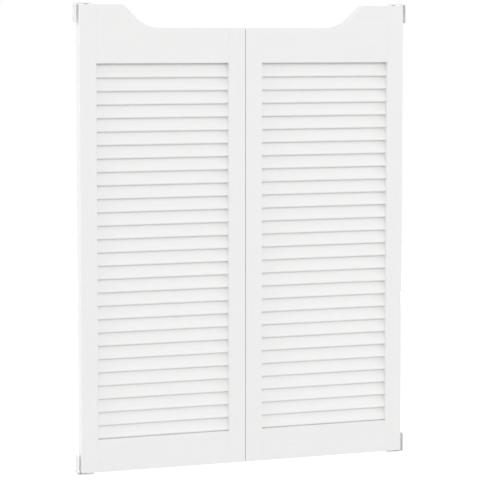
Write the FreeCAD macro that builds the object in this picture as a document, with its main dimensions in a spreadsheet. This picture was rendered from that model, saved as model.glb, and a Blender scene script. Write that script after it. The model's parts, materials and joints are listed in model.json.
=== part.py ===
"""A pair of louvred cafe doors that swing both ways on concealed spring pivots.

Two mirrored leaves hang in a door opening. X runs across the opening, Y from front to
back and Z up. The origin is the middle of the opening, half way through the leaves, level
with the underside of the foot brackets. All sizes are in millimetres and degrees.
"""
import FreeCAD, Part
import math
import os
import Sketcher

LEFT, RIGHT = -1, 1
SIDE_NAMES = {LEFT: "left", RIGHT: "right"}
SLATS_PER_NODE = 2
ORIGIN_POINT = (-1, 1)  # Sketcher's numbers for a sketch's own origin

SIZES = {
    # leaf
    "leaf_width": 396.5,
    "leaf_thickness": 28,
    "leaf_top": 1067,
    "centre_gap": 1,
    "jamb_gap": 9.4,
    "stile_width": 40,
    "low_rail_depth": 79.8,
    "bottom_rail_depth": 75.2,
    "edge_ease": 1.2,
    # scooped top
    "ear_flat": 104,
    "ear_corner": 4,
    "scoop_drop": 52.6,
    "scoop_slope": 45,
    "scoop_round": 80,
    # louvre slats
    "slat_count": 28,
    "slat_thickness": 6,
    "slat_tilt": 24,
    "slat_recess": 5.2,
    "rail_clearance": 0.8,
    "mortise_depth": 8,
    "mortise_clearance": 0.2,
    # frame dowels
    "dowel_round": 5,
    "dowel_length": 50,
    "dowel_inset": 17,
    "dowel_spacing": 30,
    "dowel_clearance": 0.1,
    "dowel_end_play": 0.5,
    # jamb brackets
    "bracket_thickness": 2.5,
    "bracket_width": 20,
    "bracket_plate": 45,
    "bracket_bend": 1.5,
    "bracket_nose": 11,
    "bracket_corner": 5,
    "fixing_spacing": 25,
    "fixing_inset": 10,
    "fixing_round": 2.25,
    "fixing_countersink": 1.6,
    "foot_gap": 2,
    "head_gap": 2,
    # pivots
    "journal_round": 4,
    "journal_clearance": 0.05,
    "rivet_clearance": 0.02,
    "pin_reach": 14,
    "pin_chamfer": 0.8,
    "bush_wall": 2,
    "bush_length": 16,
    "bush_flange": 9,
    "bore_clearance": 0.1,
    # let-in plates and their screws
    "plate_thickness": 2.5,
    "plate_end_margin": 2.5,
    "plate_side_margin": 4,
    "plate_clearance": 0.1,
    "screw_inset": 3.4,
    "screw_round": 1.5,
    "screw_head": 2.8,
    "screw_length": 16,
    "screw_taper": 3,
    "screw_tip": 0.15,
    "screw_clearance": 0.05,
    "recess_depth": 0.8,
    "recess_width": 0.7,
    # spring pivot
    "wire_round": 1.25,
    "coil_round": 5.25,
    "coil_turns": 10,
    "coil_pitch": 2.8,
    "coil_clearance": 0.5,
    "end_play": 0.3,
    "anchor_depth": 4,
    "anchor_hold": 3,
    "tube_wall": 0.8,
    "square_end": 5.6,
}

doc = FreeCAD.newDocument("cafe_doors")
sheet = doc.addObject("Spreadsheet::Sheet", "Sizes")
for row, (alias, size) in enumerate(SIZES.items(), start=1):
    sheet.set(f"A{row}", alias)
    sheet.set(f"B{row}", str(size))
    sheet.setAlias(f"B{row}", alias)
doc.recompute()

subparts = []


def dims(text):
    """Write a sum of sheet aliases as an expression that any object can hold."""
    for alias in sorted(SIZES, key=len, reverse=True):
        text = text.replace(f"<{alias}>", f"Sizes.{alias}")
    return text


def value(text):
    """The present value of a sum of sheet aliases, in mm or degrees."""
    result = sheet.evalExpression(dims(text))
    return float(getattr(result, "Value", result))


def bind(thing, **properties):
    """Tie properties of an object to sums of sheet aliases."""
    for name, text in properties.items():
        thing.setExpression(name.replace("__", "."), dims(text))


def put(thing, x="0", y="0", z="0"):
    """Tie an object's place to sums of sheet aliases."""
    bind(thing, Placement__Base__x=x, Placement__Base__y=y, Placement__Base__z=z)


# ---- derived sizes, as sums of the sheet's aliases ----

LOW_TOP = "(<leaf_top> - <scoop_drop>)"
OPENING_TOP = f"({LOW_TOP} - <low_rail_depth>)"
OPENING_WIDTH = "(<leaf_width> - 2 * <stile_width>)"
PAIR_HALF = "(<leaf_width> + <centre_gap> / 2)"
LEAF_FOOT = "(<bracket_thickness> + <foot_gap>)"
PIVOT_INSET = "(<stile_width> / 2)"

SLAT_HALF_RUN = "((<leaf_thickness> / 2 - <slat_recess> - <slat_thickness> / 2))"
SLAT_HALF_RISE = f"({SLAT_HALF_RUN} / tan(<slat_tilt>))"
FIRST_SLAT = f"(<bottom_rail_depth> + <rail_clearance> + <slat_thickness> / 2 + {SLAT_HALF_RISE})"
LAST_SLAT = f"({OPENING_TOP} - <rail_clearance> - <slat_thickness> / 2 - {SLAT_HALF_RISE})"
SLAT_PITCH = f"(({LAST_SLAT} - {FIRST_SLAT}) / (<slat_count> - 1))"

BUSH_ROUND = "(<journal_round> + <journal_clearance> + <bush_wall>)"
PLATE_HALF = "(<stile_width> / 2 - <plate_end_margin>)"
SCREW_REACH = f"({PLATE_HALF} - <screw_inset>)"
TUBE_INSIDE = "(<coil_round> + <wire_round> + <coil_clearance>)"
TUBE_OUTSIDE = f"({TUBE_INSIDE} + <tube_wall>)"
CORE_ROUND = "(<coil_round> - <wire_round> - <coil_clearance>)"
COIL_HEIGHT = "(<coil_turns> * <coil_pitch>)"
COLLAR_TOP = "(<plate_thickness> + <end_play>)"
COIL_TOP = f"({COLLAR_TOP} + <anchor_depth> + <end_play> + <wire_round>)"
COIL_FOOT = f"({COIL_TOP} + {COIL_HEIGHT})"
FLOOR_TOP = f"({COIL_FOOT} + <wire_round> + <end_play>)"
TUBE_FOOT = f"({FLOOR_TOP} + <anchor_depth>)"


# ---- drawing helpers ----

def new_body(label, several=False):
    body = doc.addObject("PartDesign::Body", label)
    body.Label = label
    body.AllowCompound = several
    subparts.append(body)
    return body


def new_sketch(body, name, plane, offset="0"):
    """A sketch on one of the body's own origin planes, moved along the plane's normal."""
    sketch = body.newObject("Sketcher::SketchObject", name)
    support = [f for f in body.Origin.OriginFeatures if f.Role == plane][0]
    sketch.AttachmentSupport = [(support, "")]
    sketch.MapMode = "FlatFace"
    bind(sketch, AttachmentOffset__Base__z=offset)
    return sketch


def constrain(sketch, kind, *numbers, by=None):
    """Add a constraint, bound to a sum of sheet aliases if it has a size."""
    if by is None:
        sketch.addConstraint(Sketcher.Constraint(kind, *numbers))
        return
    index = sketch.addConstraint(Sketcher.Constraint(kind, *numbers, value(by)))
    sketch.setExpression(f"Constraints[{index}]", dims(by))


def pin_point(sketch, geometry, which, x, y):
    """Hold one point of a sketch at x and y from the sketch's origin."""
    constrain(sketch, "DistanceX", *ORIGIN_POINT, geometry, which, by=x)
    constrain(sketch, "DistanceY", *ORIGIN_POINT, geometry, which, by=y)


def draw_outline(sketch, corners, bends=None):
    """A closed outline through corners; bends maps a side's number to its arc (centre, radius)."""
    bends = bends or {}
    points = [FreeCAD.Vector(value(x), value(y), 0) for x, y in corners]
    sides = []
    for number, start in enumerate(points):
        end = points[(number + 1) % len(points)]
        if number not in bends:
            sides.append(sketch.addGeometry(Part.LineSegment(start, end)))
            continue
        (centre_x, centre_y), radius = bends[number]
        centre = FreeCAD.Vector(value(centre_x), value(centre_y), 0)
        middle = (start + end) / 2 - centre
        middle = centre + middle * (value(radius) / middle.Length)
        sides.append(sketch.addGeometry(Part.Arc(start, middle, end)))
    for number, side in enumerate(sides):
        start_mark, end_mark = outline_ends(sketch, side, points[number])
        previous = sides[number - 1]
        previous_end = outline_ends(sketch, previous, points[number - 1])[1]
        constrain(sketch, "Coincident", previous, previous_end, side, start_mark)
        pin_point(sketch, side, start_mark, *corners[number])
        if number in bends:
            constrain(sketch, "Radius", side, by=bends[number][1])


def outline_ends(sketch, side, start):
    """Which of a side's two end points lies at its start, as (start mark, end mark)."""
    first = sketch.getPoint(side, 1)
    return (1, 2) if (first - start).Length < 1e-4 else (2, 1)


def draw_circle(sketch, x, y, radius):
    centre = FreeCAD.Vector(value(x), value(y), 0)
    circle = sketch.addGeometry(Part.Circle(centre, FreeCAD.Vector(0, 0, 1), value(radius)))
    constrain(sketch, "Radius", circle, by=radius)
    pin_point(sketch, circle, 3, x, y)


def draw_slat(sketch, clearance, middle):
    """A slat's section, a slot with full-round ends, low at the front (-Y) and high at the back."""
    radius = f"(<slat_thickness> / 2 + {clearance})"
    run, rise = value(SLAT_HALF_RUN), value(SLAT_HALF_RISE)
    half_slat = FreeCAD.Vector(run, rise, 0)
    across = FreeCAD.Vector(-rise, run, 0)
    across = across * (value(radius) / across.Length)
    tip = half_slat * (value(radius) / half_slat.Length)
    centre = FreeCAD.Vector(0, value(middle), 0)
    low, high = centre - half_slat, centre + half_slat
    upper_side = sketch.addGeometry(Part.LineSegment(high + across, low + across))
    front_end = sketch.addGeometry(Part.Arc(low + across, low - tip, low - across))
    lower_side = sketch.addGeometry(Part.LineSegment(low - across, high - across))
    back_end = sketch.addGeometry(Part.Arc(high - across, high + tip, high + across))
    constrain(sketch, "Tangent", upper_side, 2, front_end, 1)
    constrain(sketch, "Tangent", front_end, 2, lower_side, 1)
    constrain(sketch, "Tangent", lower_side, 2, back_end, 1)
    constrain(sketch, "Tangent", back_end, 2, upper_side, 1)
    constrain(sketch, "Radius", front_end, by=radius)
    pin_point(sketch, front_end, 3, f"-{SLAT_HALF_RUN}", f"{middle} - {SLAT_HALF_RISE}")
    pin_point(sketch, back_end, 3, SLAT_HALF_RUN, f"{middle} + {SLAT_HALF_RISE}")


def add(body, kind, name, sketch, **sizes):
    """Add a Pad, Pocket, Revolution or Groove from a sketch and check that it did something."""
    before = body.Shape.Volume if body.Tip else 0
    feature = body.newObject(f"PartDesign::{kind}", name)
    feature.Profile = sketch
    for key, setting in sizes.items():
        if isinstance(setting, str) and "<" in setting:
            bind(feature, **{key: setting})
        else:
            setattr(feature, key, setting)
    doc.recompute()
    if abs(body.Shape.Volume - before) < 1e-3:
        raise RuntimeError(f"{body.Label}: {name} changed nothing")
    return feature


def repeat(body, feature, count, reach):
    """Repeat a feature upwards, with the copies spread evenly over a reach."""
    pattern = body.newObject("PartDesign::LinearPattern", f"{feature.Name}_row")
    pattern.Originals = [feature]
    upright = [f for f in body.Origin.OriginFeatures if f.Role == "Z_Axis"][0]
    pattern.Direction = (upright, [""])
    bind(pattern, Length=reach, Occurrences=count)
    body.Tip = pattern
    doc.recompute()


def ease(body, name, radius, chosen):
    """Round over the edges that a test picks."""
    base = body.Tip
    edges = [f"Edge{i}" for i, edge in enumerate(base.Shape.Edges, start=1) if chosen(edge)]
    if not edges:
        raise RuntimeError(f"{body.Label}: {name} found no edges")
    fillet = body.newObject("PartDesign::Fillet", name)
    fillet.Base = (base, edges)
    bind(fillet, Radius=radius)
    body.Tip = fillet
    doc.recompute()


def along(edge, direction):
    """Whether an edge is straight and runs along a direction."""
    if edge.Curve.TypeId != "Part::GeomLine":
        return False
    return abs(abs(edge.tangentAt(edge.FirstParameter).dot(direction)) - 1) < 1e-6


def near(edge, x=None, y=None, z=None):
    """Whether the whole edge lies at the stated coordinates."""
    box = edge.BoundBox
    spans = ((box.XMin, box.XMax, x), (box.YMin, box.YMax, y), (box.ZMin, box.ZMax, z))
    tests = [abs(low - at) < 1e-4 and abs(high - at) < 1e-4 for low, high, at in spans if at is not None]
    return all(tests)


X_AXIS, Y_AXIS, Z_AXIS = FreeCAD.Vector(1, 0, 0), FreeCAD.Vector(0, 1, 0), FreeCAD.Vector(0, 0, 1)


def hang_on_leaf(piece, side):
    """Set a leaf piece's origin at the foot of the leaf's outer edge."""
    put(piece, x=f"{side} * {PAIR_HALF}", z=LEAF_FOOT)


def set_on_pivot(piece, side, z):
    """Set a piece's origin on a leaf's pivot line."""
    put(piece, x=f"{side} * ({PAIR_HALF} - {PIVOT_INSET})", z=z)


def inward(side, distance):
    """The X of a point at a distance from a leaf's outer edge, towards the other leaf."""
    return f"{-side} * ({distance})"


# ---- frame members ----

def bar(label, side, start, end, foot, top):
    """A plain upright or level bar of the leaf's thickness, given by its edges in the leaf."""
    body = new_body(label)
    hang_on_leaf(body, side)
    sketch = new_sketch(body, f"{label}_face", "XZ_Plane")
    x_start, x_end = inward(side, start), inward(side, end)
    draw_outline(sketch, [(x_start, foot), (x_end, foot), (x_end, top), (x_start, top)])
    add(body, "Pad", f"{label}_bar", sketch, Length="<leaf_thickness>", SideType="Symmetric")
    return body


def ease_stile(body, side, outer, foot, top):
    """Round the stile's free long edge and its end edges; the edge at the louvres stays sharp."""
    free_x, end_z = value(inward(side, outer)), (value(foot), value(top))

    def chosen(edge):
        upright = along(edge, Z_AXIS) and near(edge, x=free_x)
        at_end = near(edge, z=end_z[0]) or near(edge, z=end_z[1])
        short = along(edge, Y_AXIS) and near(edge, x=free_x)
        return upright or (at_end and (short or along(edge, X_AXIS)))

    ease(body, f"{body.Name}_ease", "<edge_ease>", chosen)


def cut_mortises(body, side, face):
    """Cut the row of slanted blind mortises into the face that looks at the louvres.

    face is that face's distance from the leaf's outer edge, and the cut goes away from the
    louvres: towards the outer edge in a hinge stile, away from it in a meeting stile."""
    sketch = new_sketch(body, f"{body.Name}_mortise", "YZ_Plane", inward(side, face))
    draw_slat(sketch, "<mortise_clearance>", FIRST_SLAT)
    towards_outer = body.Tip.Shape.BoundBox.Center.x * -side < value(face)
    goes_plus_x = (side > 0) == towards_outer
    pocket = add(body, "Pocket", f"{body.Name}_mortises", sketch,
                 Length="<mortise_depth>", Reversed=goes_plus_x)
    repeat(body, pocket, "<slat_count>", f"{LAST_SLAT} - {FIRST_SLAT}")


def dowel_heights():
    """The heights of the two dowels of the bottom rail and the two of the top rail."""
    bottom = "(<bottom_rail_depth> - <dowel_inset>)"
    top = f"({OPENING_TOP} + <dowel_inset>)"
    return [f"({bottom} - <dowel_spacing>)", bottom, top, f"({top} + <dowel_spacing>)"]


def bore_for_dowels(body, side, face, heights, into_plus_s):
    """Bore dowel holes into an end or edge at a distance from the leaf's outer edge.

    into_plus_s tells whether the holes go away from the outer edge."""
    name = f"{body.Name}_dowel_holes_{'a' if into_plus_s else 'b'}"
    sketch = new_sketch(body, name, "YZ_Plane", inward(side, face))
    for height in heights:
        draw_circle(sketch, "0", height, "<dowel_round> + <dowel_clearance>")
    goes_plus_x = (side < 0) == into_plus_s
    add(body, "Pocket", f"{name}_cut", sketch,
        Length="<dowel_length> / 2 + <dowel_end_play>", Reversed=goes_plus_x)


def let_in(body, side, level, upwards, bore, bore_depth):
    """Cut the seat of a let-in plate, its pivot bore and its two pilot holes into a stile's end."""
    direction = 1 if upwards else -1
    middle = inward(side, PIVOT_INSET)
    half = f"({PLATE_HALF} + <plate_clearance>)"
    half_width = "(<leaf_thickness> / 2 - <plate_side_margin> + <plate_clearance>)"
    seat = new_sketch(body, f"{body.Name}_seat_{direction}", "XY_Plane", level)
    draw_outline(seat, [(f"{middle} - {half}", f"-{half_width}"), (f"{middle} + {half}", f"-{half_width}"),
                        (f"{middle} + {half}", half_width), (f"{middle} - {half}", half_width)])
    add(body, "Pocket", f"{seat.Name}_cut", seat, Length="<plate_thickness>", Reversed=upwards)
    holes = new_sketch(body, f"{body.Name}_bore_{direction}", "XY_Plane", level)
    draw_circle(holes, middle, "0", bore)
    add(body, "Pocket", f"{holes.Name}_cut", holes, Length=bore_depth, Reversed=upwards)
    pilots = new_sketch(body, f"{body.Name}_pilots_{direction}", "XY_Plane", level)
    for end in (LEFT, RIGHT):
        draw_circle(pilots, f"{middle} + {end} * {SCREW_REACH}", "0", "<screw_round> + <screw_clearance>")
    add(body, "Pocket", f"{pilots.Name}_cut", pilots, Length="<screw_length> + <end_play>", Reversed=upwards)


def hinge_stile(side):
    body = bar(f"{SIDE_NAMES[side]}_hinge_stile", side, "0", "<stile_width>", "0", "<leaf_top>")
    ease_stile(body, side, "0", "0", "<leaf_top>")
    cut_mortises(body, side, "<stile_width>")
    bore_for_dowels(body, side, "<stile_width>", dowel_heights(), into_plus_s=False)
    let_in(body, side, "0", True, f"{BUSH_ROUND} + <bore_clearance>", "<bush_length> + <end_play>")
    let_in(body, side, "<leaf_top>", False, f"{TUBE_OUTSIDE} + <bore_clearance>",
           f"{TUBE_FOOT} + <end_play>")


def meeting_stile(side):
    inner = "(<leaf_width> - <stile_width>)"
    body = bar(f"{SIDE_NAMES[side]}_meeting_stile", side, inner, "<leaf_width>", "0", LOW_TOP)
    ease_stile(body, side, "<leaf_width>", "0", LOW_TOP)
    cut_mortises(body, side, inner)
    bore_for_dowels(body, side, inner, dowel_heights(), into_plus_s=True)


def bottom_rail(side):
    inner = "(<leaf_width> - <stile_width>)"
    body = bar(f"{SIDE_NAMES[side]}_bottom_rail", side, "<stile_width>", inner, "0", "<bottom_rail_depth>")
    ease(body, f"{body.Name}_ease", "<edge_ease>", lambda edge: along(edge, X_AXIS))
    heights = dowel_heights()[:2]
    bore_for_dowels(body, side, "<stile_width>", heights, into_plus_s=True)
    bore_for_dowels(body, side, inner, heights, into_plus_s=False)


def top_rail(side):
    """The rail whose upper edge falls from the ear, down a slope and a scoop, to the low top."""
    inner = "(<leaf_width> - <stile_width>)"
    round_rise = "(<scoop_round> * (1 - cos(<scoop_slope>)))"
    slope_run = f"((<scoop_drop> - {round_rise}) / tan(<scoop_slope>))"
    slope_foot = f"(<ear_flat> + {slope_run})"
    scoop_end = f"({slope_foot} + <scoop_round> * sin(<scoop_slope>))"
    body = new_body(f"{SIDE_NAMES[side]}_top_rail")
    hang_on_leaf(body, side)
    sketch = new_sketch(body, f"{body.Name}_face", "XZ_Plane")
    corners = [("<stile_width>", OPENING_TOP), (inner, OPENING_TOP), (inner, LOW_TOP),
               (scoop_end, LOW_TOP), (slope_foot, f"({LOW_TOP} + {round_rise})"),
               ("<ear_flat>", "<leaf_top>"), ("<stile_width>", "<leaf_top>")]
    scoop_centre = (inward(side, scoop_end), f"({LOW_TOP} + <scoop_round>)")
    draw_outline(sketch, [(inward(side, x), z) for x, z in corners],
                 bends={3: (scoop_centre, "<scoop_round>")})
    add(body, "Pad", f"{body.Name}_board", sketch, Length="<leaf_thickness>", SideType="Symmetric")
    corner_x, corner_z = value(inward(side, "<ear_flat>")), value("<leaf_top>")
    ease(body, f"{body.Name}_ear", "<ear_corner>",
         lambda edge: along(edge, Y_AXIS) and near(edge, x=corner_x, z=corner_z))
    half = value("<leaf_thickness>") / 2
    ease(body, f"{body.Name}_ease", "<edge_ease>",
         lambda edge: (near(edge, y=half) or near(edge, y=-half)) and not along(edge, Z_AXIS))
    heights = dowel_heights()[2:]
    bore_for_dowels(body, side, "<stile_width>", heights, into_plus_s=True)
    bore_for_dowels(body, side, inner, heights, into_plus_s=False)


def frame_dowels(side):
    """Eight dowels, two across each joint of the frame."""
    cylinders = []
    for joint in ("<stile_width>", "(<leaf_width> - <stile_width>)"):
        for height in dowel_heights():
            dowel = doc.addObject("Part::Cylinder", "dowel")
            dowel.Placement.Rotation = FreeCAD.Rotation(Y_AXIS, 90)
            bind(dowel, Radius="<dowel_round>", Height="<dowel_length>")
            put(dowel, x=f"{inward(side, joint)} - <dowel_length> / 2", z=height)
            cylinders.append(dowel)
    group = doc.addObject("Part::Compound", f"{SIDE_NAMES[side]}_frame_dowels")
    group.Label = f"{SIDE_NAMES[side]}_frame_dowels"
    group.Links = cylinders
    hang_on_leaf(group, side)
    subparts.append(group)


# ---- louvre slats ----

def slats(side, first, last):
    """Slats first to last, counted from the bottom, as one group of separate boards."""
    body = new_body(f"{SIDE_NAMES[side]}_slats_{first:02d}_{last:02d}", several=True)
    left_end = f"min({inward(side, '<stile_width>')}; {inward(side, '<leaf_width> - <stile_width>')})"
    bite = "(<mortise_depth> - <end_play>)"
    put(body, x=f"{side} * {PAIR_HALF} + {left_end} - {bite}",
        z=f"{LEAF_FOOT} + {FIRST_SLAT} + {first - 1} * {SLAT_PITCH}")
    sketch = new_sketch(body, f"{body.Name}_section", "YZ_Plane")
    draw_slat(sketch, "0", "0")
    board = add(body, "Pad", f"{body.Name}_board", sketch, Length=f"{OPENING_WIDTH} + 2 * {bite}")
    if last > first:
        repeat(body, board, str(last - first + 1), f"{last - first} * {SLAT_PITCH}")


# ---- let-in plates, screws and pivots ----

def plate(label, side, at_head):
    """A let-in steel plate with a pivot hole and two countersunk screw holes."""
    body = new_body(label)
    level = f"{LEAF_FOOT} + <leaf_top> - <plate_thickness>" if at_head else LEAF_FOOT
    set_on_pivot(body, side, level)
    half_width = "(<leaf_thickness> / 2 - <plate_side_margin>)"
    sketch = new_sketch(body, f"{label}_face", "XY_Plane")
    draw_outline(sketch, [(f"-{PLATE_HALF}", f"-{half_width}"), (PLATE_HALF, f"-{half_width}"),
                          (PLATE_HALF, half_width), (f"-{PLATE_HALF}", half_width)])
    bore = "<journal_round> + <journal_clearance>" if at_head else f"{BUSH_ROUND} + <bore_clearance>"
    draw_circle(sketch, "0", "0", bore)
    for end in (LEFT, RIGHT):
        draw_circle(sketch, f"{end} * {SCREW_REACH}", "0", "<screw_round> + <screw_clearance>")
    add(body, "Pad", f"{label}_plate", sketch, Length="<plate_thickness>")
    outer_z = value("<plate_thickness>") if at_head else 0
    reach, hole = value(SCREW_REACH), value("<screw_round> + <screw_clearance>")

    def chosen(edge):
        if edge.Curve.TypeId != "Part::GeomCircle" or not near(edge, z=outer_z):
            return False
        return abs(edge.Curve.Radius - hole) < 1e-4 and abs(abs(edge.Curve.Center.x) - reach) < 1e-4

    countersink(body, "<screw_head> - <screw_round>", chosen)


def countersink(body, depth, chosen):
    """Chamfer the mouths of screw holes at 45 degrees."""
    base = body.Tip
    edges = [f"Edge{i}" for i, edge in enumerate(base.Shape.Edges, start=1) if chosen(edge)]
    if not edges:
        raise RuntimeError(f"{body.Label}: no screw holes to countersink")
    chamfer = body.newObject("PartDesign::Chamfer", f"{body.Name}_countersinks")
    chamfer.Base = (base, edges)
    bind(chamfer, Size=depth)
    body.Tip = chamfer
    doc.recompute()


def plate_screws(side):
    """Four flat-head wood screws, each a turned blank with a crossed recess in its head."""
    screws = []
    for at_head in (False, True):
        for end in (LEFT, RIGHT):
            screws.append(wood_screw(end, at_head))
    group = doc.addObject("Part::Compound", f"{SIDE_NAMES[side]}_plate_screws")
    group.Label = f"{SIDE_NAMES[side]}_plate_screws"
    group.Links = screws
    set_on_pivot(group, side, LEAF_FOOT)
    subparts.append(group)


def wood_screw(end, at_head):
    """One screw, head outwards, at an end of the head or foot plate."""
    cone_height = "(<screw_head> - <screw_round>)"
    slot_length = "(2 * <screw_round>)"
    head = doc.addObject("Part::Cone", "screw_head")
    bind(head, Radius1="<screw_head> - <screw_clearance>", Radius2="<screw_round>", Height=cone_height)
    shank = doc.addObject("Part::Cylinder", "screw_shank")
    bind(shank, Radius="<screw_round>", Height=f"<screw_length> - <screw_taper> - {cone_height}")
    put(shank, z=cone_height)
    tip = doc.addObject("Part::Cone", "screw_tip")
    bind(tip, Radius1="<screw_round>", Radius2="<screw_tip>", Height="<screw_taper>")
    put(tip, z="<screw_length> - <screw_taper>")
    blank = doc.addObject("Part::MultiFuse", "screw_blank")
    blank.Shapes = [head, shank, tip]
    slots = []
    for x_size, y_size in ((slot_length, "<recess_width>"), ("<recess_width>", slot_length)):
        slot = doc.addObject("Part::Box", "screw_slot")
        bind(slot, Length=x_size, Width=y_size, Height="<recess_depth>")
        put(slot, x=f"-{x_size} / 2", y=f"-{y_size} / 2")
        slots.append(slot)
    recess = doc.addObject("Part::MultiFuse", "screw_recess")
    recess.Shapes = slots
    screw = doc.addObject("Part::Cut", "wood_screw")
    screw.Base = blank
    screw.Tool = recess
    if at_head:
        screw.Placement.Rotation = FreeCAD.Rotation(X_AXIS, 180)
    put(screw, x=f"{end} * {SCREW_REACH}", z="<leaf_top>" if at_head else "0")
    return screw


def turned(label, side, z, profile):
    """A body turned about the pivot line from a half section of (radius, height) corners."""
    body = new_body(label)
    set_on_pivot(body, side, z)
    sketch = new_sketch(body, f"{label}_section", "XZ_Plane")
    draw_outline(sketch, profile)
    add(body, "Revolution", f"{label}_turned", sketch, ReferenceAxis=(sketch, ["V_Axis"]), Angle=360)
    return body


def foot_bush(side):
    """The flanged bush that carries the leaf: its flange fills the gap under the foot plate."""
    bore = "(<journal_round> + <journal_clearance>)"
    turned(f"{SIDE_NAMES[side]}_foot_bush", side, LEAF_FOOT,
           [(bore, "-<foot_gap>"), ("<bush_flange>", "-<foot_gap>"), ("<bush_flange>", "0"),
            (BUSH_ROUND, "0"), (BUSH_ROUND, "<bush_length>"), (bore, "<bush_length>")])


def foot_pin(side):
    """The round pin riveted into the foot bracket's tongue."""
    top = "(<bracket_thickness> + <foot_gap> + <pin_reach>)"
    turned(f"{SIDE_NAMES[side]}_foot_pin", side, "0",
           [("0", "0"), ("<journal_round>", "0"), ("<journal_round>", f"({top} - <pin_chamfer>)"),
            ("<journal_round> - <pin_chamfer>", top), ("0", top)])


def spring_tube(side):
    """The cup behind the head plate; its floor guides the shaft and anchors the spring's lower leg."""
    label = f"{SIDE_NAMES[side]}_spring_tube"
    guide = f"({CORE_ROUND} + <journal_clearance>)"
    body = turned(label, side, f"{LEAF_FOOT} + <leaf_top>",
                  [(guide, f"-{TUBE_FOOT}"), (TUBE_OUTSIDE, f"-{TUBE_FOOT}"),
                   (TUBE_OUTSIDE, "-<plate_thickness>"), (TUBE_INSIDE, "-<plate_thickness>"),
                   (TUBE_INSIDE, f"-{FLOOR_TOP}"), (guide, f"-{FLOOR_TOP}")])
    sketch = new_sketch(body, f"{label}_anchor", "XY_Plane", f"-{FLOOR_TOP}")
    draw_circle(sketch, "<coil_round>", "0", "<wire_round> + <bore_clearance>")
    add(body, "Pocket", f"{label}_anchor_hole", sketch, Length="<anchor_depth>")


def spring_shaft(side):
    """The shaft that hangs from the head bracket; its collar anchors the spring's upper leg."""
    label = f"{SIDE_NAMES[side]}_spring_shaft"
    collar = f"({TUBE_INSIDE} - <coil_clearance>)"
    collar_foot = f"({COLLAR_TOP} + <anchor_depth>)"
    body = turned(label, side, f"{LEAF_FOOT} + <leaf_top>",
                  [("0", "<head_gap>"), ("<journal_round>", "<head_gap>"),
                   ("<journal_round>", f"-{COLLAR_TOP}"), (collar, f"-{COLLAR_TOP}"),
                   (collar, f"-{collar_foot}"), (CORE_ROUND, f"-{collar_foot}"),
                   (CORE_ROUND, f"-({TUBE_FOOT} - <end_play>)"), ("0", f"-({TUBE_FOOT} - <end_play>)")])
    anchor = new_sketch(body, f"{label}_anchor", "XY_Plane", f"-{collar_foot}")
    draw_circle(anchor, "<coil_round>", "0", "<wire_round> + <bore_clearance>")
    add(body, "Pocket", f"{label}_anchor_hole", anchor, Length="<anchor_depth>", Reversed=True)
    square = new_sketch(body, f"{label}_square", "XY_Plane", "<head_gap>")
    half = "(<square_end> / 2)"
    draw_outline(square, [(f"-{half}", f"-{half}"), (half, f"-{half}"), (half, half), (f"-{half}", half)])
    add(body, "Pad", f"{label}_square_end", square, Length="<bracket_thickness>")


def torsion_spring(side):
    """A coil about the shaft with a straight leg at each end, one in the collar, one in the tube."""
    label = f"{SIDE_NAMES[side]}_torsion_spring"
    coil_radius, wire = value("<coil_round>"), value("<wire_round>")
    foot, top = -value(COIL_FOOT), -value(COIL_TOP)
    path = Part.makeHelix(value("<coil_pitch>"), top - foot, coil_radius)
    path.translate(FreeCAD.Vector(0, 0, foot))
    section = Part.Wire(Part.makeCircle(wire, FreeCAD.Vector(coil_radius, 0, foot), Y_AXIS))
    coil = Part.Wire(path.Edges).makePipeShell([section], True, True)
    hold = value("<anchor_hold>")
    lower_leg = Part.makeCylinder(wire, hold + wire, FreeCAD.Vector(coil_radius, 0, foot - hold - wire))
    turned_by = math.radians(360 * value("<coil_turns>"))
    upper_end = FreeCAD.Vector(coil_radius * math.cos(turned_by), coil_radius * math.sin(turned_by), top)
    upper_leg = Part.makeCylinder(wire, hold + wire, upper_end)
    spring = doc.addObject("Part::Feature", label)
    spring.Label = label
    spring.Shape = coil.fuse([lower_leg, upper_leg]).Solids[0]
    set_on_pivot(spring, side, f"{LEAF_FOOT} + <leaf_top>")
    subparts.append(spring)


# ---- jamb brackets ----

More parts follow.
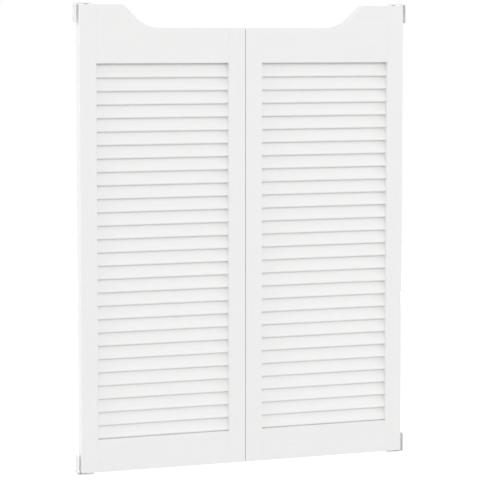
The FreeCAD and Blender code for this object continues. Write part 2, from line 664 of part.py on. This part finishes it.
def bracket(side, at_head):
    """A steel angle: an upright plate on the jamb and a tongue under or over the leaf's corner.

    Its origin is on the pivot line at the face of the tongue that is away from the leaf."""
    label = f"{SIDE_NAMES[side]}_{'head' if at_head else 'foot'}_bracket"
    body = new_body(label)
    level = f"{LEAF_FOOT} + <leaf_top> + <head_gap> + <bracket_thickness>" if at_head else "0"
    set_on_pivot(body, side, level)
    up = -1 if at_head else 1
    jamb = f"({side} * ({PIVOT_INSET} + <jamb_gap>))"
    plate_face = f"({jamb} - {side} * <bracket_thickness>)"
    nose = f"(-{side} * <bracket_nose>)"
    inner, end = f"({up} * <bracket_thickness>)", f"({up} * <bracket_plate>)"
    section = new_sketch(body, f"{label}_section", "XZ_Plane")
    draw_outline(section, [(jamb, "0"), (nose, "0"), (nose, inner), (plate_face, inner),
                           (plate_face, end), (jamb, end)])
    add(body, "Pad", f"{label}_angle", section, Length="<bracket_width>", SideType="Symmetric")
    jamb_x, face_x, inner_z = value(jamb), value(plate_face), value(inner)
    ease(body, f"{label}_inner_bend", "<bracket_bend>",
         lambda edge: along(edge, Y_AXIS) and near(edge, x=face_x, z=inner_z))
    ease(body, f"{label}_outer_bend", "<bracket_bend> + <bracket_thickness>",
         lambda edge: along(edge, Y_AXIS) and near(edge, x=jamb_x, z=0))
    half = value("<bracket_width>") / 2
    nose_x, end_z = value(nose), value(end)
    ease(body, f"{label}_corners", "<bracket_corner>",
         lambda edge: (near(edge, x=nose_x) and along(edge, Z_AXIS)) or
         (near(edge, z=end_z) and along(edge, X_AXIS)) and abs(abs(edge.BoundBox.YMin) - half) < 1e-4)
    hole = new_sketch(body, f"{label}_pivot_hole", "XY_Plane")
    if at_head:
        side_half = "(<square_end> / 2 + <rivet_clearance>)"
        draw_outline(hole, [(f"-{side_half}", f"-{side_half}"), (side_half, f"-{side_half}"),
                            (side_half, side_half), (f"-{side_half}", side_half)])
    else:
        draw_circle(hole, "0", "0", "<journal_round> + <rivet_clearance>")
    add(body, "Pocket", f"{label}_pivot_cut", hole, Length="<bracket_thickness>", Reversed=not at_head)
    screws = new_sketch(body, f"{label}_fixings", "YZ_Plane", jamb)
    first = f"({up} * (<bracket_plate> - <fixing_inset>))"
    for height in (first, f"({first} - {up} * <fixing_spacing>)"):
        draw_circle(screws, "0", height, "<fixing_round>")
    add(body, "Pocket", f"{label}_fixing_holes", screws, Length="<bracket_thickness>", Reversed=side < 0)
    radius = value("<fixing_round>")
    countersink(body, "<fixing_countersink>",
                lambda edge: near(edge, x=face_x) and edge.Curve.TypeId == "Part::GeomCircle"
                and abs(edge.Curve.Radius - radius) < 1e-4)


# ---- the pair ----

for side in (LEFT, RIGHT):
    hinge_stile(side)
    meeting_stile(side)
    top_rail(side)
    bottom_rail(side)
    frame_dowels(side)
    slat_count = int(value("<slat_count>"))
    for first in range(1, slat_count + 1, SLATS_PER_NODE):
        slats(side, first, min(first + SLATS_PER_NODE - 1, slat_count))
    plate(f"{SIDE_NAMES[side]}_foot_plate", side, at_head=False)
    plate(f"{SIDE_NAMES[side]}_head_plate", side, at_head=True)
    plate_screws(side)
    foot_bush(side)
    spring_tube(side)
    torsion_spring(side)
    spring_shaft(side)
    foot_pin(side)
    bracket(side, at_head=False)
    bracket(side, at_head=True)

doc.recompute()
for item in doc.Objects:
    if "Invalid" in item.State or "Error" in item.State:
        raise RuntimeError(f"{item.Label} is {item.State}")
for piece in subparts:
    if piece.Shape.isNull() or not piece.Shape.isValid() or not piece.Shape.Solids:
        raise RuntimeError(f"{piece.Label} has no valid shape")

os.makedirs("parts", exist_ok=True)
for piece in subparts:
    piece.Shape.exportStep(os.path.join("parts", f"{piece.Label}.step"))
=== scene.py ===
"""The finish of a pair of louvred cafe doors: white paint brushed over wood, and the hardware."""
import json
import math

import bmesh
import bpy
from mathutils import Matrix, Vector


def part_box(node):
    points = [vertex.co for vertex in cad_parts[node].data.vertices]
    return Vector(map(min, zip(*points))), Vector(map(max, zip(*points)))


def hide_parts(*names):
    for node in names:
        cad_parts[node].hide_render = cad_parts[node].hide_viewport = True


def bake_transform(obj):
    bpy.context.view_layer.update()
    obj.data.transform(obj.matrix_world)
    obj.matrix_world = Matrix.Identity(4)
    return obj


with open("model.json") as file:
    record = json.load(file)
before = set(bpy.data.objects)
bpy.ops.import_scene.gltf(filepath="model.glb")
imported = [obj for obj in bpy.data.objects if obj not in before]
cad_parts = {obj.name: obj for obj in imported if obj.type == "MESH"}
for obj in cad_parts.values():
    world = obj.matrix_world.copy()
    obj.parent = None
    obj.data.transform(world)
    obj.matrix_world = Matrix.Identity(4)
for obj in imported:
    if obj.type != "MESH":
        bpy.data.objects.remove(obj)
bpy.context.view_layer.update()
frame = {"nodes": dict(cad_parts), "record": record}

MM = 0.001
SOFT_SAMPLES = 6  # rays for each bevel and occlusion lookup

# ---- node helpers ----

MIX_FACTOR, MIX_COLOURS, MIX_RESULT = 0, (6, 7), 2  # the Mix node's own numbers for its colour sockets


def add_node(tree, kind, inputs=None, **settings):
    """A shader node with its settings, and its inputs given as values or as sockets to link."""
    node = tree.nodes.new(kind)
    for name, setting in settings.items():
        setattr(node, name, setting)
    for name, given in (inputs or {}).items():
        if isinstance(given, bpy.types.NodeSocket):
            tree.links.new(given, node.inputs[name])
        else:
            node.inputs[name].default_value = given
    return node


def math_node(tree, operation, first, second=0.0):
    """One sum on two values or sockets."""
    return add_node(tree, "ShaderNodeMath", {0: first, 1: second}, operation=operation).outputs[0]


def share(tree, mask, strength):
    """A mask turned down to a share of its strength."""
    return math_node(tree, "MULTIPLY", mask, strength)


def remap(tree, given, low, high, to_low=0.0, to_high=1.0):
    """Stretch a value from one range to another, held within the new one."""
    node = add_node(tree, "ShaderNodeMapRange", {
        "Value": given, "From Min": low, "From Max": high, "To Min": to_low, "To Max": to_high})
    return node.outputs[0]


def tint(tree, mask, base, other):
    """Lay one colour over another where a mask is high."""
    sockets = {MIX_FACTOR: mask, MIX_COLOURS[0]: base, MIX_COLOURS[1]: other}
    return add_node(tree, "ShaderNodeMix", sockets, data_type="RGBA").outputs[MIX_RESULT]


def noise(tree, vector, scale, detail=2.0, roughness=0.5, distortion=0.0):
    """A cloudy pattern from 0 to 1, with a number of clouds to the metre."""
    node = add_node(tree, "ShaderNodeTexNoise", {
        "Vector": vector, "Scale": scale, "Detail": detail,
        "Roughness": roughness, "Distortion": distortion})
    return node.outputs["Fac"]


def stretched(tree, vector, scale):
    """Object coordinates scaled along each axis, so that a round pattern turns into streaks."""
    return add_node(tree, "ShaderNodeMapping", {"Vector": vector, "Scale": scale}).outputs[0]


def new_group(name, inputs, outputs):
    """A shader node group with named sockets. Returns the group and its two end nodes."""
    group = bpy.data.node_groups.new(name, "ShaderNodeTree")
    for socket, kind in inputs:
        group.interface.new_socket(socket, in_out="INPUT", socket_type=f"NodeSocket{kind}")
    for socket in outputs:
        group.interface.new_socket(socket, in_out="OUTPUT", socket_type="NodeSocketFloat")
    return group, group.nodes.new("NodeGroupInput"), group.nodes.new("NodeGroupOutput")


def put_out(group, result, outputs):
    """Link sockets into a group's named outputs."""
    for name, socket in outputs.items():
        group.links.new(socket, result.inputs[name])


def use_group(tree, group, inputs):
    """Place a shared effect in a material, with that material's own values."""
    return add_node(tree, "ShaderNodeGroup", inputs, node_tree=group)


# ---- effects that several finishes share ----

BRISTLES_PER_GRAIN = 6.0


def make_brushed_paint():
    """Paint laid off with a brush over planed wood: bristle streaks, sunken grain and an uneven film."""
    group, given, result = new_group(
        "brushed_paint", [("Along", "Vector"), ("Place", "Vector")], ["Thin", "Gloss", "Height"])
    along, place = given.outputs["Along"], given.outputs["Place"]
    bristles = noise(group, along, BRISTLES_PER_GRAIN, detail=4.0, roughness=0.6)
    grain = noise(group, along, 1.0, detail=3.0, roughness=0.55, distortion=0.6)
    film = noise(group, place, 9.0, detail=3.0)
    sunk = remap(group, grain, 0.52, 0.62)
    streaks = share(group, remap(group, bristles, 0.3, 0.7), 0.4)
    patches = share(group, remap(group, film, 0.35, 0.65), 0.25)
    thin = math_node(group, "ADD", streaks, patches)
    thin = math_node(group, "ADD", thin, share(group, sunk, 0.35))
    height = math_node(group, "SUBTRACT", share(group, bristles, 0.5), share(group, sunk, 0.5))
    gloss = math_node(group, "ADD", film, share(group, bristles, 0.5))
    put_out(group, result, {"Thin": thin, "Gloss": remap(group, gloss, 0.55, 0.95), "Height": height})
    return group


def make_edge_and_painted_shade():
    """Where handling rubs an arris, and painted shade: a mask that is high in corners and recesses,
    found by an occlusion lookup.
    """
    group, given, result = new_group(
        "edge_and_painted_shade", [("Reach", "Float"), ("Place", "Vector")], ["Edge", "Painted_Shade"])
    reach, place = given.outputs["Reach"], given.outputs["Place"]
    rounded = add_node(group, "ShaderNodeBevel", {"Radius": reach}, samples=SOFT_SAMPLES)
    geometry = add_node(group, "ShaderNodeNewGeometry")
    agreement = add_node(group, "ShaderNodeVectorMath", {
        0: rounded.outputs[0], 1: geometry.outputs["Normal"]}, operation="DOT_PRODUCT")
    edge = remap(group, agreement.outputs["Value"], 0.995, 0.8)
    patchy = remap(group, noise(group, place, 60.0, detail=3.0), 0.35, 0.65)
    occlusion = add_node(group, "ShaderNodeAmbientOcclusion", {
        "Distance": math_node(group, "MULTIPLY", reach, 6.0)}, samples=SOFT_SAMPLES)
    # painted shade: high where the occlusion lookup finds the surface hemmed in by other surfaces
    painted_shade = remap(group, occlusion.outputs["AO"], 0.75, 0.3)
    put_out(group, result, {"Edge": math_node(group, "MULTIPLY", edge, patchy), "Painted_Shade": painted_shade})
    return group


def make_metal_marks():
    """Fine scratches and a cloudy bloom on plain metal."""
    group, given, result = new_group(
        "metal_marks", [("Along", "Vector"), ("Place", "Vector")], ["Cloud", "Scratch"])
    cloud = remap(group, noise(group, given.outputs["Place"], 180.0, detail=4.0), 0.35, 0.65)
    scratch = remap(group, noise(group, given.outputs["Along"], 1.0), 0.45, 0.7)
    put_out(group, result, {"Cloud": cloud, "Scratch": scratch})
    return group


BRUSHED_PAINT = make_brushed_paint()
EDGE_AND_PAINTED_SHADE = make_edge_and_painted_shade()
METAL_MARKS = make_metal_marks()


# ---- finishes ----

FRAME_WHITE = (0.836, 0.836, 0.833, 1)
FRAME_THIN = (0.786, 0.785, 0.779, 1)
# the slats wear the frame's paint; their colours are set about 2% lighter, painted light for the
# brighter light on their upturned faces
SLAT_LIT_WHITE = (0.856, 0.856, 0.853, 1)
SLAT_LIT_THIN = (0.804, 0.803, 0.797, 1)
RUBBED_WHITE = (0.88, 0.878, 0.868, 1)
# painted shade colour for corners and recesses, and also the colour of the hairline at the rail joints
SHADE_AND_JOINT_WHITE = (0.70, 0.695, 0.68, 1)
# how strongly painted shade darkens each part's corners and recesses: least on the stiles, most between
# the slats
STILE_SHADE, RAIL_SHADE, SLAT_SHADE = 0.1, 0.25, 0.5
GRAIN_ALONG = 1.5
GRAIN_ACROSS = 233.0
PAINT_ROUGHNESS = (0.34, 0.46)
BRUSH_DEPTH = 0.05 * MM
ARRIS_ROUND = 0.6 * MM
HANDLING_REACH = 1.5 * MM
HAIRLINE_FADE, HAIRLINE_CORE = 0.9 * MM, 0.2 * MM

COAT_RUBBED = (0.74, 0.74, 0.73, 1)
COAT_ROUGHNESS = (0.36, 0.5)
COAT_DEPTH = 0.03 * MM
COAT_EDGE_REACH = 0.8 * MM

BEECH_DARK = (0.66, 0.46, 0.27, 1)
BEECH_PALE = (0.78, 0.6, 0.4, 1)
BEECH_FLECK = (0.45, 0.28, 0.15, 1)
BEECH_ROUGHNESS = (0.6, 0.75)
BEECH_GRAIN = (60.0, 900.0, 900.0)
BEECH_FLECKS = (250.0, 2500.0, 2500.0)
BEECH_DEPTH = 0.05 * MM

ZINC = (0.66, 0.67, 0.69, 1), (0.52, 0.53, 0.56, 1)
STEEL = (0.62, 0.62, 0.64, 1), (0.5, 0.5, 0.52, 1)
SPRING_STEEL = (0.3, 0.3, 0.32, 1), (0.2, 0.2, 0.22, 1)
METAL_EDGE = (0.86, 0.86, 0.87, 1)
METAL_EDGE_REACH = 0.4 * MM
SCRATCH_DEPTH = 0.01 * MM

NYLON_DARK = (0.80, 0.78, 0.70, 1)
NYLON_PALE = (0.88, 0.87, 0.82, 1)
NYLON_ROUGHNESS = (0.45, 0.6)
NYLON_DEPTH = 0.02 * MM


def new_finish(name, specular=0.5, metallic=0.0):
    """An empty material. Returns it with its node tree, its shader and object coordinates."""
    material = bpy.data.materials.new(name)
    material.use_nodes = True
    tree = material.node_tree
    tree.nodes.clear()
    shader = tree.nodes.new("ShaderNodeBsdfPrincipled")
    shader.inputs["Specular IOR Level"].default_value = specular
    shader.inputs["Metallic"].default_value = metallic
    output = tree.nodes.new("ShaderNodeOutputMaterial")
    tree.links.new(shader.outputs[0], output.inputs[0])
    place = add_node(tree, "ShaderNodeTexCoord").outputs["Object"]
    return material, tree, shader, place


def finish_surface(tree, shader, colour, roughness, height, depth, soften=0.0):
    """Link the colour, the roughness and a bump of a depth in metres into the shader."""
    tree.links.new(colour, shader.inputs["Base Color"])
    tree.links.new(roughness, shader.inputs["Roughness"])
    bump = add_node(tree, "ShaderNodeBump", {"Height": height, "Distance": depth, "Strength": 1.0})
    if soften:
        rounded = add_node(tree, "ShaderNodeBevel", {"Radius": soften}, samples=SOFT_SAMPLES)
        tree.links.new(rounded.outputs[0], bump.inputs["Normal"])
    tree.links.new(bump.outputs[0], shader.inputs["Normal"])


def painted_wood(name, white, thin, grain_axis, shade_share, joints=()):
    """White satin paint on wood, with painted shade in its corners and a hairline where each rail's end
    meets a stile.
    """
    material, tree, shader, place = new_finish(name)
    scale = [GRAIN_ALONG if axis == grain_axis else GRAIN_ACROSS for axis in "xyz"]
    paint = use_group(tree, BRUSHED_PAINT, {"Along": stretched(tree, place, scale), "Place": place})
    wear = use_group(tree, EDGE_AND_PAINTED_SHADE, {"Reach": HANDLING_REACH, "Place": place})
    colour = tint(tree, share(tree, paint.outputs["Thin"], 0.5), white, thin)
    colour = tint(tree, share(tree, wear.outputs["Edge"], 0.5), colour, RUBBED_WHITE)
    # painted shade: darker in corners and in the gaps between the slats
    colour = tint(tree, share(tree, wear.outputs["Painted_Shade"], shade_share), colour, SHADE_AND_JOINT_WHITE)
    height = paint.outputs["Height"]
    if joints:
        hairline = joint_hairline(tree, place, joints)
        colour = tint(tree, share(tree, hairline, 0.45), colour, SHADE_AND_JOINT_WHITE)
        height = math_node(tree, "SUBTRACT", height, hairline)
    roughness = remap(tree, paint.outputs["Gloss"], 0.0, 1.0, *PAINT_ROUGHNESS)
    finish_surface(tree, shader, colour, roughness, height, BRUSH_DEPTH, soften=ARRIS_ROUND)
    return material


def joint_hairline(tree, place, joints):
    """A thin line in the paint where a rail's end meets a stile, at two distances from X = 0."""
    across = add_node(tree, "ShaderNodeSeparateXYZ", {0: place}).outputs["X"]
    across = math_node(tree, "ABSOLUTE", across)
    lines = []
    for joint in joints:
        distance = math_node(tree, "ABSOLUTE", math_node(tree, "SUBTRACT", across, joint))
        lines.append(remap(tree, distance, HAIRLINE_FADE, HAIRLINE_CORE))
    return math_node(tree, "MAXIMUM", *lines)


def bare_beech(name):
    """Turned beech dowel: pale brown with short darker flecks along it."""
    material, tree, shader, place = new_finish(name)
    grain = noise(tree, stretched(tree, place, BEECH_GRAIN), 1.0, detail=4.0)
    fleck = remap(tree, noise(tree, stretched(tree, place, BEECH_FLECKS), 1.0), 0.6, 0.75)
    colour = tint(tree, grain, BEECH_DARK, BEECH_PALE)
    colour = tint(tree, share(tree, fleck, 0.5), colour, BEECH_FLECK)
    roughness = remap(tree, grain, 0.3, 0.7, *BEECH_ROUGHNESS)
    finish_surface(tree, shader, colour, roughness, grain, BEECH_DEPTH)
    return material


def powder_coat(name):
    """White powder coat on steel: fine orange peel, a little worn at its edges, with painted shade in
    its corners.
    """
    material, tree, shader, place = new_finish(name)
    wear = use_group(tree, EDGE_AND_PAINTED_SHADE, {"Reach": COAT_EDGE_REACH, "Place": place})
    peel = noise(tree, place, 900.0)
    cloud = remap(tree, noise(tree, place, 40.0, detail=3.0), 0.3, 0.7)
    colour = tint(tree, share(tree, cloud, 0.4), FRAME_WHITE, FRAME_THIN)
    colour = tint(tree, share(tree, wear.outputs["Edge"], 0.5), colour, COAT_RUBBED)
    # painted shade: darker in the brackets' corners and recesses
    colour = tint(tree, share(tree, wear.outputs["Painted_Shade"], 0.3), colour, SHADE_AND_JOINT_WHITE)
    roughness = remap(tree, peel, 0.3, 0.7, *COAT_ROUGHNESS)
    finish_surface(tree, shader, colour, roughness, peel, COAT_DEPTH)
    return material


def metal(name, tones, marks_scale, rough):
    """Bare or plated metal with a bloom, fine marks and brighter edges."""
    material, tree, shader, place = new_finish(name, metallic=1.0)
    marks = use_group(tree, METAL_MARKS, {"Along": stretched(tree, place, marks_scale), "Place": place})
    wear = use_group(tree, EDGE_AND_PAINTED_SHADE, {"Reach": METAL_EDGE_REACH, "Place": place})
    colour = tint(tree, marks.outputs["Cloud"], *tones)
    colour = tint(tree, share(tree, wear.outputs["Edge"], 0.4), colour, METAL_EDGE)
    uneven = math_node(tree, "ADD", marks.outputs["Scratch"], marks.outputs["Cloud"])
    roughness = remap(tree, uneven, 0.0, 2.0, *rough)
    finish_surface(tree, shader, colour, roughness, marks.outputs["Scratch"], SCRATCH_DEPTH)
    return material


def natural_nylon(name):
    """Moulded nylon: cream, faintly cloudy, with a soft sheen."""
    material, tree, shader, place = new_finish(name)
    cloud = noise(tree, place, 220.0, detail=3.0)
    colour = tint(tree, cloud, NYLON_DARK, NYLON_PALE)
    roughness = remap(tree, cloud, 0.3, 0.7, *NYLON_ROUGHNESS)
    finish_surface(tree, shader, colour, roughness, noise(tree, place, 1500.0), NYLON_DEPTH)
    return material


def rail_ends():
    """How far from the middle of the opening each end of the rails lies."""
    low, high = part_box("right_bottom_rail")
    return low[0], high[0]


FINISHES = {
    "painted_stile": painted_wood("painted_stile", FRAME_WHITE, FRAME_THIN, "z", STILE_SHADE),
    "painted_rail": painted_wood(
        "painted_rail", FRAME_WHITE, FRAME_THIN, "x", RAIL_SHADE, rail_ends()),
    # the slats' lighter white is painted light
    "painted_slat": painted_wood("painted_slat", SLAT_LIT_WHITE, SLAT_LIT_THIN, "x", SLAT_SHADE),
    "dowel_wood": bare_beech("dowel_wood"),
    "coated_steel": powder_coat("coated_steel"),
    "plated_steel": metal("plated_steel", ZINC, (3000.0, 300.0, 300.0), (0.28, 0.46)),
    "bright_steel": metal("bright_steel", STEEL, (5.0, 5.0, 6000.0), (0.16, 0.32)),
    "spring_wire": metal("spring_wire", SPRING_STEEL, (400.0, 400.0, 4000.0), (0.3, 0.5)),
    "nylon": natural_nylon("nylon"),
}


def dress_nodes():
    """Give each piece the finish that the record names for it."""
    for part in frame["record"]["subparts"]:
        node = frame["nodes"][part["node"]]
        node.data.materials.clear()
        node.data.materials.append(FINISHES[part["material_slot"]])


# ---- springs ----

SAME_POINT = 0.001 * MM


def wind_spring(side):
    """A copy of a leaf's torsion spring with its doubled points merged, shown in place of the CAD piece,
    which is hidden.
    """
    node_name = f"{side}_torsion_spring"
    mesh = frame["nodes"][node_name].data.copy()
    shape = bmesh.new()
    shape.from_mesh(mesh)
    bmesh.ops.remove_doubles(shape, verts=shape.verts, dist=SAME_POINT)
    shape.to_mesh(mesh)
    shape.free()
    spring = bpy.data.objects.new(f"{side}_winding_spring", mesh)
    bpy.context.scene.collection.objects.link(spring)
    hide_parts(node_name)
    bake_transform(spring)


# ---- room, lamps and camera ----

FLOOR_LEVEL = -0.35
FLOOR_REACH = 8.0
FLOOR_SIDES = 96
FLOOR_ROUGHNESS, FLOOR_SPECULAR = 0.9, 0.1
MOTTLE_SCALE = 0.6
FLOOR_SHADE = (0.8, 0.8, 0.8, 1)
FLOOR_MOTTLE = (0.76, 0.76, 0.76, 1)
SEEN_WHITE = (0.97, 0.97, 0.97, 1)
SEEN_GLOW = 0.32
ROOM_LEVEL = 0.68
DOOR_MIDDLE = 0.54
LAMPS = (
    ("front_lamp", (-4.2, -20.0, 8.1), (6.4, 6.4), 1200.0),
    ("left_lamp", (-9.0, -0.4, 3.4), (4.0, 9.0), 330.0),
    ("right_lamp", (3.85, -2.7, 2.25), (2.5, 2.5), 28.0),
    ("back_lamp", (3.4, 5.0, -0.15), (3.5, 0.3), 66.0),
)
CAMERA_PLACE = (-1.5707, -4.4059, 0.9948)
CAMERA_TURN = 19.518
CAMERA_TILT = 4.36
CAMERA_LENS = 150.98
CAMERA_SENSOR = 36.0
CAMERA_SHIFT = -0.1
CAMERA_REACH = 100.0


def seen_directly(tree):
    """1 for a ray from the eye, from a mirror or through glass, and 0 for the light itself."""
    path = add_node(tree, "ShaderNodeLightPath")
    seen = math_node(tree, "MAXIMUM", path.outputs["Is Camera Ray"], path.outputs["Is Glossy Ray"])
    return math_node(tree, "MAXIMUM", seen, path.outputs["Is Transmission Ray"])


def pale_floor():
    """A pale surface that looks white and keeps the shadows that fall on it."""
    material, tree, shader, place = new_finish("pale_floor", specular=FLOOR_SPECULAR)
    shader.inputs["Roughness"].default_value = FLOOR_ROUGHNESS
    shader.inputs["Emission Color"].default_value = (1, 1, 1, 1)
    seen = seen_directly(tree)
    base = tint(tree, noise(tree, place, MOTTLE_SCALE), FLOOR_SHADE, FLOOR_MOTTLE)
    tree.links.new(tint(tree, seen, base, SEEN_WHITE), shader.inputs["Base Color"])
    tree.links.new(share(tree, seen, SEEN_GLOW), shader.inputs["Emission Strength"])
    return material


def lay_floor():
    """A round floor below the doors, which hang clear of it."""
    mesh = bpy.data.meshes.new("floor")
    shape = bmesh.new()
    bmesh.ops.create_circle(shape, cap_ends=True, segments=FLOOR_SIDES, radius=FLOOR_REACH,
                            matrix=Matrix.Translation((0, 0, FLOOR_LEVEL)))
    shape.to_mesh(mesh)
    shape.free()
    mesh.materials.append(pale_floor())
    floor = bpy.data.objects.new("floor", mesh)
    bpy.context.scene.collection.objects.link(floor)


def whiten_room():
    """A white room that gives even light from all round."""
    world = bpy.data.worlds.new("white_room")
    bpy.context.scene.world = world
    world.use_nodes = True
    tree = world.node_tree
    background = tree.nodes["Background"]
    background.inputs["Color"].default_value = (1, 1, 1, 1)
    level = remap(tree, seen_directly(tree), 0.0, 1.0, ROOM_LEVEL, 1.0)
    tree.links.new(level, background.inputs["Strength"])


def hang_lamps():
    """Wide soft lamps, each aimed at the middle of the doors."""
    for name, place, size, power in LAMPS:
        data = bpy.data.lights.new(name, "AREA")
        data.shape = "RECTANGLE"
        data.size, data.size_y = size
        data.energy = power
        lamp = bpy.data.objects.new(name, data)
        lamp.location = place
        aim = Vector((0, 0, DOOR_MIDDLE)) - Vector(place)
        lamp.rotation_euler = aim.to_track_quat("-Z", "Y").to_euler()
        bpy.context.scene.collection.objects.link(lamp)


def place_camera():
    """The camera stands to the left, nearly as high as the doors, and looks a little down."""
    data = bpy.data.cameras.new("camera")
    data.lens = CAMERA_LENS
    data.sensor_width = CAMERA_SENSOR
    data.shift_y = CAMERA_SHIFT
    data.clip_end = CAMERA_REACH
    camera = bpy.data.objects.new("camera", data)
    camera.location = CAMERA_PLACE
    camera.rotation_euler = (math.radians(90 - CAMERA_TILT), 0, math.radians(-CAMERA_TURN))
    bpy.context.scene.collection.objects.link(camera)
    bpy.context.scene.camera = camera


dress_nodes()
wind_spring("left")
wind_spring("right")
lay_floor()
whiten_room()
hang_lamps()
place_camera()
bpy.context.scene.view_settings.view_transform = "Standard"
